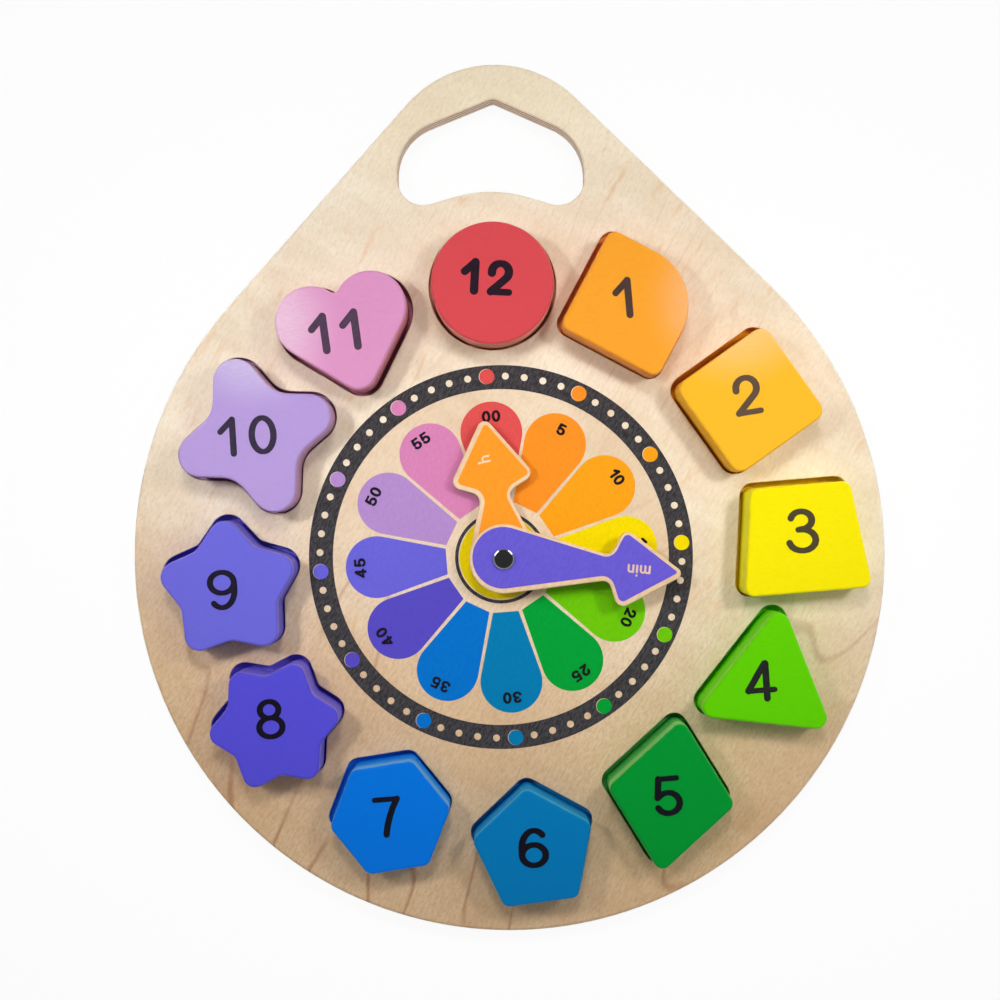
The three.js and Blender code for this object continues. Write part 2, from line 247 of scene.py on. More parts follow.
# %% [markdown]
# The finishes share a few effects, such as the grain of the wood and the small faults of print.
# Each effect is a shader node group with named inputs and outputs, built once and placed in every
# material that needs it. The helpers below keep the node code short. Colours are written as the
# eye reads them on a screen and turned into the linear values that Blender computes with.

# %% Helpers for node trees
def colour(red, green, blue):
    """A linear colour from screen values of 0 to 255"""
    shares = [value / 255 for value in (red, green, blue)]
    return [s / 12.92 if s <= 0.04045 else ((s + 0.055) / 1.055) ** 2.4 for s in shares] + [1.0]


def add_node(kind, inputs, tree=None, **settings):
    """A node in the tree of its inputs, or in the given tree where no input is linked"""
    linked = [value for value in inputs.values() if isinstance(value, bpy.types.NodeSocket)]
    made = (tree or linked[0].id_data).nodes.new(kind)
    for key, value in settings.items():
        setattr(made, key, value)
    for key, value in inputs.items():
        feed(value, made.inputs[key])
    return made


def feed(value, socket):
    """Links a socket or sets a plain value"""
    if isinstance(value, bpy.types.NodeSocket):
        socket.id_data.links.new(value, socket)
    else:
        socket.default_value = value


def maths(operation, first, second=0.0):
    return add_node("ShaderNodeMath", {0: first, 1: second}, operation=operation).outputs[0]


def plus(first, second):
    return maths("ADD", first, second)


def minus(first, second):
    return maths("SUBTRACT", first, second)


def times(first, second):
    return maths("MULTIPLY", first, second)


def graded(value, low, high, to_low=0.0, to_high=1.0):
    """A smooth step from one value to another"""
    inputs = {"Value": value, "From Min": low, "From Max": high, "To Min": to_low, "To Max": to_high}
    return add_node("ShaderNodeMapRange", inputs, interpolation_type="SMOOTHSTEP").outputs[0]


def mixed(amount, first, second):
    """A mix of two colours"""
    return add_node("ShaderNodeMix", {0: amount, 6: first, 7: second}, data_type="RGBA").outputs[2]


def along_axis(place, axis):
    return add_node("ShaderNodeSeparateXYZ", {0: place}).outputs[axis]


def distance_to(place, spot=(0, 0, 0)):
    """How far a place is from a spot, in metres"""
    return add_node("ShaderNodeVectorMath", {0: place, 1: spot}, operation="DISTANCE").outputs["Value"]


def noise(place, scale, detail=2.0, roughness=0.5):
    inputs = {"Vector": place, "Scale": scale, "Detail": detail, "Roughness": roughness}
    return add_node("ShaderNodeTexNoise", inputs).outputs[0]


def grain_noise(place, along, across, detail=2.0, roughness=0.5):
    """Noise with one scale along the grain, which runs along X, and another across it"""
    inputs = {0: place, 1: (along, across, across)}
    scaled = add_node("ShaderNodeVectorMath", inputs, operation="MULTIPLY").outputs[0]
    return noise(scaled, 1.0, detail, roughness)


def node_group(name, inputs, build, kind="ShaderNodeTree"):
    """A node group. Each input has the name of its kind or a number, and build gives the outputs."""
    tree = bpy.data.node_groups.new(name, kind)

    def add_socket(label, side, kind):
        return tree.interface.new_socket(name=label, in_out=side, socket_type="NodeSocket" + kind)

    for label, start in inputs.items():
        if isinstance(start, str):
            add_socket(label, "INPUT", start)
        else:
            add_socket(label, "INPUT", "Float").default_value = start
    made = build(tree.nodes.new("NodeGroupInput").outputs)
    kinds = {"RGBA": "Color", "GEOMETRY": "Geometry"}
    for label, value in made.items():
        add_socket(label, "OUTPUT", kinds.get(value.type, "Float"))
    result = tree.nodes.new("NodeGroupOutput").inputs
    for label, value in made.items():
        feed(value, result[label])
    print("node group", name, "gives", ", ".join(made))
    return tree


def placed_group(group, inputs):
    return add_node("ShaderNodeGroup", inputs, node_tree=group).outputs


# %% [markdown]
# The board is faced with pale maple. It shows soft cloudy patches, a faint curl across the grain,
# fine short fibres, a few orange streaks and thin brown growth rings, most of them slanting up to
# the right. A photograph of wood could be wrapped round it, but noise stretched along the grain
# has no seams and works on the rims and in the holes too.

# %% Wood grain
def build_wood_grain(given):
    place = given["Vector"]
    cloud = grain_noise(place, 11.0, 26.0, 4.0, 0.6)
    curl = grain_noise(place, 150.0, 45.0)
    fibre = grain_noise(place, 260.0, 1100.0, 3.0, 0.7)
    speck = grain_noise(place, 620.0, 900.0, 2.0, 0.6)
    streak = grain_noise(place, 70.0, 360.0)
    streak_patch = graded(noise(place, 13.0), 0.45, 0.6)
    swell = grain_noise(place, 4.0, 16.0, 2.0, 0.4)
    saw = maths("FRACT", times(swell, 16.0))
    line = graded(maths("ABSOLUTE", minus(saw, 0.5)), 0.0, 0.09, 1.0, 0.0)
    ring_patch = graded(noise(place, 16.0), 0.46, 0.62)
    tone = plus(times(cloud, 0.6), times(curl, 0.4))
    return {
        "Tone": graded(tone, 0.28, 0.72),
        "Fibre": graded(fibre, 0.38, 0.64),
        "Speck": graded(speck, 0.46, 0.66),
        "Streak": times(graded(streak, 0.6, 0.72), streak_patch),
        "Ring": times(line, ring_patch),
        "Height": fibre,
    }


wood_grain = node_group("wood_grain", {"Vector": "Vector"}, build_wood_grain)

# %% [markdown]
# The edge of plywood shows its thin layers in turn, pale long grain and darker end grain. The
# layers lie at fixed heights, so they can be a pattern on the height above the table, shown only
# where the surface faces sideways.

# %% Plywood layers
ply_layer = 0.0013


def build_ply_layers(given):
    upright = maths("ABSOLUTE", along_axis(given["Normal"], "Z"))
    waver = times(noise(given["Vector"], 60.0), 0.0003)
    height = plus(along_axis(given["Vector"], "Z"), waver)
    turns = maths("DIVIDE", height, given["Layer"])
    wave = maths("SINE", times(turns, math.pi))
    return {
        "Side": graded(upright, 0.35, 0.8, 1.0, 0.0),
        "Dark Layer": graded(wave, -0.25, 0.25),
    }


ply_layers = node_group(
    "ply_layers", {"Vector": "Vector", "Normal": "Vector", "Layer": ply_layer}, build_ply_layers,
)

# %% [markdown]
# Print and stain on wood are never quite even. The grain below shows through as a faint mottle, and
# there are rare pale specks where a grain of dust or a knock has lifted the colour.

# %% Faults of print and stain
def build_paint_skin(given):
    fine = grain_noise(given["Vector"], 500.0, 1500.0, 3.0, 0.65)
    cells = add_node("ShaderNodeTexVoronoi", {"Vector": given["Vector"], "Scale": 110.0})
    return {
        "Mottle": graded(fine, 0.3, 0.7),
        "Speck": graded(cells.outputs["Distance"], 0.0, given["Speck Size"], 1.0, 0.0),
        "Height": fine,
    }


paint_skin = node_group("paint_skin", {"Vector": "Vector", "Speck Size": 0.03}, build_paint_skin)

# %% [markdown]
# Most finishes are one of four kinds: bare wood, stained wood in the recesses, print on wood, and
# the coat of a block. Each kind is a function, so that all twelve colours are made alike.

# %% Start and end of a material
grain_turn = math.radians(-58)
relief = 0.0002


def open_material(name):
    """A new material, its Principled shader and its object coordinates with the grain along X"""
    material = bpy.data.materials.new(name)
    material.use_nodes = True
    tree = material.node_tree
    shader = tree.nodes["Principled BSDF"]
    place = tree.nodes.new("ShaderNodeTexCoord").outputs
    inputs = {"Vector": place["Object"], "Rotation": (0, 0, grain_turn)}
    grain = add_node("ShaderNodeMapping", inputs).outputs[0]
    return material, shader, place, grain


def close_material(shader, base, roughness, height, strength):
    feed(base, shader.inputs["Base Color"])
    feed(roughness, shader.inputs["Roughness"])
    bump = add_node("ShaderNodeBump", {"Height": height, "Strength": strength, "Distance": relief})
    feed(bump.outputs[0], shader.inputs["Normal"])


# %% Bare and stained wood
def bare_wood(name, pale, deep, end_grain, layer=ply_layer, dial_warmth=0.0):
    """Wood with painted light at the head, painted shade at the foot, and a warmer tone under the dial"""
    material, shader, place, grain = open_material(name)
    wood = placed_group(wood_grain, {"Vector": grain})
    sides = {"Vector": place["Object"], "Normal": place["Normal"], "Layer": layer}
    ply = placed_group(ply_layers, sides)
    y = along_axis(place["Object"], "Y")
    slant = plus(y, times(along_axis(place["Object"], "X"), 0.2))
    # Painted shade: the wood turns darker and warmer towards the foot, where less light falls. The same share
    # also brings out more fibre, speck and ring there.
    foot = graded(slant, -0.1, 0.01, 0.72, 0.0)
    # Painted light: the wood turns paler at the head.
    head = graded(y, 0.1, 0.14, 0.0, 0.5)
    reach = distance_to(place["Object"], (pivot[0] * MM, pivot[1] * MM, face_z * MM))
    # The painted shade of the foot, together with a warmer tone of the wood under the dial.
    foot_shade_and_dial_warmth = maths("MAXIMUM", foot, graded(reach, 0.06, 0.062, dial_warmth, 0.0))
    rough = plus(0.12, times(foot, 0.32))
    face = mixed(wood["Tone"], pale, deep)
    # The list starts with painted light at the head. Next come the painted shade at the foot and the warmer
    # tone under the dial, and then the grain.
    for amount, tint in [
        (head, (255, 240, 206)),
        (foot_shade_and_dial_warmth, (216, 175, 125)),
        (times(wood["Tone"], times(foot_shade_and_dial_warmth, 0.35)), (180, 132, 92)),
        (times(wood["Fibre"], rough), (192, 152, 108)),
        (times(wood["Speck"], rough), (192, 150, 104)),
        (times(wood["Streak"], 0.35), (222, 176, 118)),
        (times(wood["Ring"], plus(0.1, times(foot, 0.85))), (168, 112, 78)),
    ]:
        face = mixed(amount, face, colour(*tint))
    edge = mixed(ply["Dark Layer"], mixed(wood["Fibre"], pale, deep), end_grain)
    roughness = graded(wood["Fibre"], 0.0, 1.0, 0.5, 0.62)
    close_material(shader, mixed(ply["Side"], face, edge), roughness, wood["Height"], 0.25)
    return material


def stained_wood(name, stain):
    material, shader, place, grain = open_material(name)
    wood = placed_group(wood_grain, {"Vector": grain})
    ply = placed_group(ply_layers, {"Vector": place["Object"], "Normal": place["Normal"]})
    worn = [0.65 * own + 0.35 * brown for own, brown in zip(stain, colour(120, 84, 56))]
    dark = times(times(ply["Dark Layer"], ply["Side"]), 0.6)
    base = mixed(dark, stain, worn)
    base = mixed(times(wood["Fibre"], 0.35), base, worn)
    close_material(shader, base, 0.6, wood["Height"], 0.4)
    return material


maple = bare_wood(
    "maple_ply", colour(246, 235, 214), colour(231, 213, 186), colour(172, 128, 88), dial_warmth=0.3,
)
hand_wood = bare_wood(
    "hand_maple", colour(240, 214, 178), colour(228, 192, 150), colour(204, 160, 120), 0.0011,
)
print("wood finishes:", maple.name, hand_wood.name)

# %% Print on wood
def printed(name, ink, worn, roughness=0.5):
    """Print that varies between two colours along the grain"""
    material, shader, place, grain = open_material(name)
    shader.inputs["Specular IOR Level"].default_value = 0.2
    skin = placed_group(paint_skin, {"Vector": grain})
    base = mixed(skin["Mottle"], ink, worn)
    shine = graded(skin["Mottle"], 0.0, 1.0, roughness - 0.04, roughness + 0.06)
    close_material(shader, base, shine, skin["Height"], 0.15)
    return material


# %% [markdown]
# A block is stained all over and its top is then printed. The rim between the two was sanded round
# after staining, so it is paler and shows the wood. The coat is a pattern on the height: print on
# top, a pale band at the rim, and the plain stain further down. A painted sheen, standing in for the
# reflection of the two high softboxes, pales the print in two soft patches, one over the outer sides
# of 1 and 2 and one over those of 10 and 11. Each row says where the middle of a patch is, how far
# it is full, where it ends and how pale it gets. These sizes are in metres, as the shader's
# coordinates are.

# %% Coat of a block
white = (1, 1, 1, 1)
black = (0, 0, 0, 1)
print_height = 0.0243
painted_sheen_spots = [
    ((0.0795, 0.0635, print_height), 0.01, 0.032, 0.155),
    ((-0.083, 0.0615, print_height), 0.008, 0.031, 0.28),
]


def build_block_coat(given):
    place = given["Vector"]
    waver = times(noise(place, 300.0), 0.0004)
    depth = plus(minus(given["Top"], along_axis(place, "Z")), waver)
    skin = placed_group(paint_skin, {"Vector": place})
    rim_share = graded(depth, given["Rim Depth"], plus(given["Rim Depth"], 0.0003))
    band_share = graded(depth, given["Band Depth"], plus(given["Band Depth"], 0.0012))
    top = mixed(times(skin["Mottle"], 0.035), given["Print"], black)
    top = mixed(times(skin["Speck"], 0.5), top, given["Rim"])
    grainy = plus(0.75, times(skin["Mottle"], 0.5))
    # Painted sheen: the print pales towards white in two soft patches, where the high softboxes would be
    # reflected.
    for spot, near, far, most in painted_sheen_spots:
        painted_sheen = graded(distance_to(place, spot), near, far, most, 0.0)
        top = mixed(times(painted_sheen, grainy), top, white)
    side = mixed(times(skin["Mottle"], 0.1), given["Stain"], given["Rim"])
    return {
        "Color": mixed(rim_share, top, mixed(band_share, given["Rim"], side)),
        "Roughness": graded(rim_share, 0.0, 1.0, 0.4, 0.6),
        "Height": skin["Height"],
    }


coat_inputs = {
    "Vector": "Vector", "Print": "Color", "Stain": "Color", "Rim": "Color",
    "Top": print_height, "Rim Depth": 0.0006, "Band Depth": 0.003,
}
block_coat = node_group("block_coat", coat_inputs, build_block_coat)


def coated(name, ink, stain, rim, band):
    material, shader, place, grain = open_material(name)
    shader.inputs["Specular IOR Level"].default_value = 0.2
    inputs = {"Vector": place["Object"], "Print": ink, "Stain": stain, "Rim": rim, "Band Depth": band * MM}
    coat = placed_group(block_coat, inputs)
    close_material(shader, coat["Color"], coat["Roughness"], coat["Height"], 0.12)
    return material


# %% [markdown]
# The twelve hours, from twelve o'clock on. Each row has the colour of the block's top, of its
# stained side, of its rim, how deep the pale band reaches in millimetres, and the colour of the
# petal printed on the dial for the same hour. A recess has the stain of its block's side, but for
# two recesses that were stained a deeper amber.

# %% Colours of the twelve hours
hour_colours = {
    "12": ("red", (212, 74, 80), (234, 156, 136), (234, 162, 142), 6.0, (219, 82, 80)),
    "01": ("orange", (244, 160, 46), (250, 164, 86), (250, 166, 78), 3.0, (246, 144, 36)),
    "02": ("amber", (242, 182, 42), (252, 188, 36), (252, 188, 46), 5.0, (246, 160, 24)),
    "03": ("yellow", (242, 225, 4), (252, 250, 12), (252, 246, 50), 6.0, (240, 216, 0)),
    "04": ("lime", (95, 204, 0), (106, 230, 0), (142, 226, 60), 3.5, (108, 196, 6)),
    "05": ("green", (0, 148, 50), (62, 180, 74), (130, 204, 112), 7.0, (0, 158, 54)),
    "06": ("teal", (0, 119, 181), (0, 145, 212), (40, 174, 220), 3.5, (0, 122, 175)),
    "07": ("blue", (0, 115, 221), (4, 148, 248), (104, 178, 242), 6.0, (0, 112, 200)),
    "08": ("indigo", (84, 76, 209), (125, 110, 230), (146, 128, 222), 3.5, (86, 74, 190)),
    "09": ("violet", (106, 102, 212), (110, 102, 220), (154, 138, 220), 3.0, (104, 98, 212)),
    "10": ("lilac", (175, 149, 209), (187, 143, 178), (206, 164, 196), 6.0, (176, 138, 200)),
    "11": ("pink", (214, 145, 189), (197, 120, 140), (228, 158, 174), 4.0, (212, 130, 178)),
}
recess_stains = {"02": (240, 160, 30), "03": (238, 190, 24)}
coats = {}
stains = {}
inks = {}
for hour, (name, top, side, rim, band, petal) in hour_colours.items():
    coats[hour] = coated("coat_" + name, colour(*top), colour(*side), colour(*rim), band)
    stains[hour] = stained_wood("recess_" + name, colour(*recess_stains.get(hour, side)))
    inks[hour] = printed("ink_" + name, colour(*petal), colour(*[0.96 * value for value in petal]))
charcoal = printed("ink_charcoal", colour(44, 42, 45), colour(78, 75, 77), 0.55)
numeral_ink = printed("ink_numeral", colour(20, 17, 24), colour(32, 28, 35), 0.5)
print("coats", len(coats), "recess stains", len(stains), "petal inks", len(inks))

# %% [markdown]
# The twelve blocks are a lesson in shapes: a circle, squares, a triangle, stars and a heart, all
# with round corners. Each shape is a short list of discs, in shares of the room that a block has.

# %% Shapes of the twelve blocks
def share(value):
    return value * block_reach


def regular(sides, reach, first):
    inner = share(reach) - block_corner / math.cos(math.pi / sides)
    return [[*polar(inner, first + 360 * i / sides), block_corner] for i in range(sides)]


def star(points, tip, notch, lobe, fillet):
    discs = []
    for i in range(points):
        turn = 90 + 360 * i / points
        discs.append([*polar(share(tip - lobe), turn), share(lobe)])
        discs.append([*polar(share(notch + fillet), turn + 180 / points), -share(fillet)])
    return discs


def square(side, corner, dome):
    half, small, large = share(side) / 2, share(corner), share(dome)
    near, far = half - small, half - large
    return [[near, -near, small], [far, far, large], [-near, near, small], [-near, -near, small]]


def trapezoid(top, bottom, height):
    taper = (share(bottom) - share(top)) / 2 / share(height)
    reach = share(height) / 2 - block_corner
    middle = (share(top) + share(bottom)) / 4
    slant = block_corner * math.hypot(1, taper)
    foot, head = [middle - taper * y - slant for y in (-reach, reach)]
    corners = [(foot, -reach), (head, reach), (-head, reach), (-foot, -reach)]
    return [[x, y, block_corner] for x, y in corners]


def diamond(long, short):
    slant = math.hypot(share(long), share(short))
    high = share(long) - block_corner * slant / share(short)
    wide = share(short) - block_corner * slant / share(long)
    return [[x, y, block_corner] for x, y in [(wide, 0), (0, high), (-wide, 0), (0, -high)]]


def triangle(peak_x, peak, peak_curve, foot, base, foot_curve):
    foot_x, foot_y = share(foot - foot_curve), share(foot_curve - base)
    top = [share(peak_x), share(peak - peak_curve), share(peak_curve)]
    return [[foot_x, foot_y, share(foot_curve)], top, [-foot_x, foot_y, share(foot_curve)]]


def heart(lobe_x, lobe_y, lobe, tip_x, tip, tip_curve, fillet):
    rise = math.sqrt((lobe + fillet) ** 2 - lobe_x ** 2)
    return [
        [share(tip_x), share(tip_curve - tip), share(tip_curve)],
        [share(lobe_x), share(lobe_y), share(lobe)],
        [0, share(lobe_y + rise), -share(fillet)],
        [-share(lobe_x), share(lobe_y), share(lobe)],
    ]


shapes = {
    "circle": [[0, 0, share(0.885)]],
    "arched_square": square(1.6, 0.145, 0.85),
    "square": square(1.575, 0.18, 0.18),
    "trapezoid": trapezoid(1.44, 1.855, 1.555),
    "triangle": triangle(0.065, 1.02, 0.165, 0.9, 0.585, 0.16),
    "diamond": diamond(1.13, 0.935),
    "pentagon": regular(5, 0.915, 90),
    "hexagon": regular(6, 0.88, 0),
    "six_point_star": star(6, 0.935, 0.725, 0.18, 0.17),
    "five_point_star": star(5, 0.995, 0.735, 0.22, 0.2),
    "four_point_star": star(4, 1.15, 0.72, 0.32, 0.45),
    "heart": heart(0.44, 0.3, 0.52, 0.035, 0.82, 0.27, 0.08),
}
print("block shapes:", ", ".join(shapes))

# %% [markdown]
# The recesses stand round the ring at about the places of the hours, each turned its own way. A
# block lies a little off the middle of its recess, because it has slid towards the foot of the
# board. The rows hold the hour, the shape, the clock bearing in degrees, the distance as a share of
# the ring's radius, the turn, and where the block lies as shares of the clearance.

# %% Places of the recesses and blocks
ring_rows = [
    ("12", "circle", -2, 0.986, 0, (0, -0.4)),
    ("01", "arched_square", 27, 1.008, -30.2, (0.1, -0.75)),
    ("02", "square", 57.6, 1.007, 33.1, (0.2, -0.5)),
    ("03", "trapezoid", 87.3, 1.021, 2.4, (0, -0.55)),
    ("04", "triangle", 117.4, 0.982, -8.4, (0, -0.55)),
    ("05", "diamond", 148.4, 0.979, -10.2, (0.4, -0.55)),
    ("06", "pentagon", 178.2, 1.008, 5.4, (0, -0.55)),
    ("07", "hexagon", 208.7, 0.992, 6.7, (0.6, -0.45)),
    ("08", "six_point_star", 238.6, 1.015, -23.5, (0.35, -0.7)),
    ("09", "five_point_star", 267.3, 1.01, 2, (0.48, -0.64)),
    ("10", "four_point_star", 298.4, 1.018, 17.3, (0.6, -0.3)),
    ("11", "heart", 326.1, 0.987, 12.5, (-0.28, 0.1)),
]
recesses = {}
block_places = {}
for hour, shape, bearing, distance, turn, lie in ring_rows:
    x, y = polar(ring_radius * distance, 90 - bearing)
    x, y = x + ring_middle[0], y + ring_middle[1]
    recesses[hour] = [[u, v, r + recess_clearance] for u, v, r in placed(shapes[shape], x, y, turn)]
    block_places[hour] = (x + lie[0] * recess_clearance, y + lie[1] * recess_clearance, turn)
print("recesses placed:", len(recesses))

# %% [markdown]
# The board is two panels glued face to face. The recesses go through the front one only, so the
# back one is their floor. The handle hole goes through both, and a counterbore in the back takes
# the tail of the rivet. The walls and floors of the recesses are stained in the block's colour,
# which is a material of its own on those faces.

# %% Outlines of the board, the handle hole and the bores
board_step = 2.0
grip_step = 3.0
grip_margin = 7.7
grip_middle = (-1.1, body_y + head_distance + 3.9)
grip_tilt = -2.3
grip_reach = head_radius - grip_margin
board = [[0, body_y, body_radius], [0, body_y + head_distance, head_radius]]


def grip_discs():
    """The handle hole: a peak, a shoulder and a lobe on each side, and a swelling under the palm"""
    side = [[0.714, -0.095, 0.27], [0.43, -0.03, 0.555]]
    peak = [0.022, 0.67, 0.08]
    palm = [0, -1.525, -1.3]
    discs = [[grip_reach * value for value in disc] for disc in [palm, *side, peak, *mirrored(side)]]
    return placed(discs, *grip_middle, grip_tilt)


grip = grip_discs()
bore = [[*pivot, bore_radius]]
counterbore = [[*pivot, counterbore_radius]]
board_top = belt(board, -board_edge - flat_band, board_step)
grip_rim = belt(grip, grip_edge + flat_band, grip_step)
panel_finishes = [maple, *stains.values()]
stain_slots = {hour: i + 1 for i, hour in enumerate(stains)}
print("stained faces have slots 1 to", len(stain_slots))

# %% Front panel
bm = bmesh.new()
add_wall(bm, board, levels(back_thickness, face_z, 0, board_edge), step=board_step)
add_wall(bm, grip, levels(back_thickness, face_z, 0, grip_edge), hole=True, step=grip_step)
add_wall(bm, bore, levels(back_thickness, face_z), hole=True)
for hour, recess in recesses.items():
    rim = levels(face_z - recess_edge, face_z, 0, recess_edge)
    add_wall(bm, recess, [(back_thickness, 0), rim[0]], hole=True, slot=stain_slots[hour])
    add_wall(bm, recess, rim[1:], hole=True)
recess_rims = [belt(recess, recess_edge + flat_band) for recess in recesses.values()]
floors = [belt(recess) for recess in recesses.values()]
add_cap(bm, face_z, [board_top], [grip_rim, belt(bore), *recess_rims])
holes = [belt(grip, 0, grip_step), belt(bore)]
add_cap(bm, back_thickness, [belt(board, 0, board_step)], [*holes, *floors], up=False)
piece("front_panel", bm, panel_finishes, "board", ["front_board"])

# %% Back panel
bm = bmesh.new()
add_wall(bm, board, levels(0, back_thickness, board_edge, 0), step=board_step)
add_wall(bm, grip, levels(0, back_thickness, grip_edge, 0), hole=True, step=grip_step)
add_wall(bm, bore, levels(counterbore_depth, back_thickness), hole=True)
add_wall(bm, counterbore, levels(0, counterbore_depth), hole=True)
add_cap(bm, counterbore_depth, [belt(counterbore)], [belt(bore)], up=False)
add_cap(bm, 0, [board_top], [grip_rim, belt(counterbore)], up=False)
tops = [belt(board, 0, board_step), *floors]
add_cap(bm, back_thickness, tops, holes, slots=[0, *stain_slots.values()])
piece("back_panel", bm, panel_finishes, "board", ["back_board"])

# %% [markdown]
# A block is a plate 20 mm high with all its rims rounded. A cube with a bevel could not have these
# outlines, so each block is a wall round its own belt, closed at both ends.

# %% Blocks
low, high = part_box("block_12_circle")
foot_z, top_z = low.z / MM, high.z / MM
block_nodes = {}
for hour, shape, *rest in ring_rows:
    discs = placed(shapes[shape], *block_places[hour])
    bm = bmesh.new()
    add_wall(bm, discs, levels(foot_z, top_z, block_edge, block_edge))
    end = belt(discs, -block_edge - flat_band)
    add_cap(bm, foot_z, [end], up=False)
    add_cap(bm, top_z, [end])
    node = f"block_{hour}_{shape}"
    block_nodes[hour] = node
    piece(f"painted_{hour}_{shape}", bm, [coats[hour]], node, [node])
print("block tops at", round(top_z, 2), "mm")

# %% [markdown]
# The numerals are painted with a round-ended brush stroke, which Blender's own font doesn't have.
# So each figure is a few centre lines, and a pill shape is laid along every short stretch of them.
# The triangulation joins all the pills of a numeral into one outline.

# %% Strokes of the figures
def arc(x, y, wide, high, start, end, steps=12):
    angles = [math.radians(start + (end - start) * k / steps) for k in range(steps + 1)]
    return [(x + wide * math.cos(a), y + high * math.sin(a)) for a in angles]


six = [arc(0.36, 0.5, 0.36, 0.5, 48, 180) + [(0.004, 0.32)], arc(0.345, 0.295, 0.34, 0.295, 0, 360, 24)]
figures = {
    "0": (0.64, [arc(0.32, 0.5, 0.32, 0.5, 0, 360, 28)]),
    "1": (0.36, [[(0, 0.66), (0.36, 1)], [(0.36, 1), (0.36, 0)]]),
    "2": (0.66, [arc(0.33, 0.7, 0.3, 0.3, 188, -47) + [(0.02, 0)], [(0.02, 0), (0.66, 0)]]),
    "3": (0.64, [
        arc(0.28, 0.775, 0.27, 0.225, 165, -70) + [(0.2, 0.535)],
        [(0.2, 0.535)] + arc(0.3, 0.27, 0.34, 0.27, 80, -165),
    ]),
    "4": (0.76, [[(0.5, 1), (0, 0.24)], [(0, 0.24), (0.76, 0.24)], [(0.53, 1), (0.53, 0)]]),
    "5": (0.66, [
        [(0.62, 1), (0.1, 1)], [(0.1, 1), (0.04, 0.47)],
        [(0.04, 0.47)] + arc(0.33, 0.3, 0.33, 0.3, 140, -155),
    ]),
    "6": (0.7, six),
    "7": (0.64, [[(0, 1), (0.64, 1)], [(0.64, 1), (0.5, 0.75), (0.4, 0.5), (0.32, 0.25), (0.27, 0)]]),
    "8": (0.66, [arc(0.33, 0.765, 0.265, 0.235, 0, 360, 20), arc(0.33, 0.27, 0.33, 0.27, 0, 360, 24)]),
    "9": (0.7, [[(0.7 - x, 1 - y) for x, y in line] for line in six]),
    "h": (0.46, [[(0, 1), (0, 0)], arc(0.23, 0.38, 0.23, 0.22, 180, 0) + [(0.46, 0)]]),
    "m": (0.8, [
        [(0, 0.6), (0, 0)], arc(0.2, 0.4, 0.2, 0.2, 180, 0) + [(0.4, 0)],
        arc(0.6, 0.4, 0.2, 0.2, 180, 0) + [(0.8, 0)],
    ]),
    "i": (0.0, [[(0, 0.6), (0, 0)], [(0, 0.88), (0, 0.9)]]),
    "n": (0.42, [[(0, 0.6), (0, 0)], arc(0.21, 0.39, 0.21, 0.21, 180, 0) + [(0.42, 0)]]),
}


def brush(points, stroke):
    """Radii along a line for a brush that is a little wider on upright strokes than on level ones"""
    radii = []
    for i in range(len(points)):
        (x0, y0), (x1, y1) = points[max(0, i - 1)], points[min(len(points) - 1, i + 1)]
        upright = abs(y1 - y0) / max(1e-9, math.hypot(x1 - x0, y1 - y0))
        radii.append(stroke / 2 * (0.9 + 0.22 * upright))
    return radii


def lettering(text, x, y, turn, height, stroke, gap):
    """Pill outlines of a line of figures round the point x, y. Height and stroke are in millimetres."""
    scale = height - stroke
    width = sum(figures[mark][0] for mark in text) + gap * (len(text) - 1)
    pills = []
    left = -width / 2
    for mark in text:
        wide, lines = figures[mark]
        for line in lines:
            flat = [((left + u) * scale, (v - 0.5) * scale) for u, v in line]
            dots = placed([[u, v, r] for (u, v), r in zip(flat, brush(flat, stroke))], x, y, turn)
            for start, end in zip(dots, dots[1:]):
                pills.append(belt([start, end], step=22.5))
        left += wide + gap
    return pills


# %% [markdown]
# Each numeral stands near the middle of its block, upright but a few degrees off, as painted by
# hand. Its thin ink lets some of a bright block's colour through. A painted sheen, a pinkish white
# mixed into that colour, makes it paler. The rows hold how far it is from the block's middle, its
# turn, height and stroke, and how much of the colour shows.

# %% Numerals on the blocks
numeral_rows = {
    "12": (-1.7, 1.95, -5.4, 12.2, 2.55, 0.1),
    "01": (-4.0, 1.85, 2.6, 13.8, 2.15, 0.25),
    "02": (-1.3, 1.75, 6.6, 13.8, 2.1, 0.33),
    "03": (-0.45, 2.6, -0.8, 15.4, 2.1, 0.24),
    "04": (-2.4, 0.8, 1.7, 13.8, 2.05, 0.12),
    "05": (-1.3, 0.25, 2.6, 13.8, 2.05, 0.04),
    "06": (-0.15, 1.35, -0.8, 13.8, 2.05, 0.02),
    "07": (-1.0, 0.45, 2.1, 13.8, 1.95, 0.04),
    "08": (-1.1, 2.4, 3.6, 13.8, 1.85, 0.02),
    "09": (-1.9, 0.1, 0.6, 13.8, 1.85, 0.08),
    "10": (-2.45, 0, 1.2, 13.4, 1.95, 0.19),
    "11": (-3.9, 0.9, 5.6, 13.9, 2.35, 0.28),
}
for hour, (dx, dy, turn, high, stroke, show) in numeral_rows.items():
    x, y, block_turn = block_places[hour]
    name, top = hour_colours[hour][:2]
    # Painted sheen: before the block's colour shows through the ink, it is paled towards a pinkish white.
    pale = [0.6 * level + 0.4 * painted_sheen_tint for level, painted_sheen_tint in zip(top, (255, 205, 255))]
    dark = [(1 - show) * ink + show * level for ink, level in zip((15, 12, 22), pale)]
    ink = printed("numeral_on_" + name, colour(*dark), colour(*[value + 8 for value in dark]))
    pills = lettering(str(int(hour)), x + dx, y + dy, turn, high, stroke, gap=0.56)
    bottom, top = top_z - print_depth, top_z + print_rise
    film(f"numeral_{hour}", bottom, top, pills, ink, block_nodes[hour])


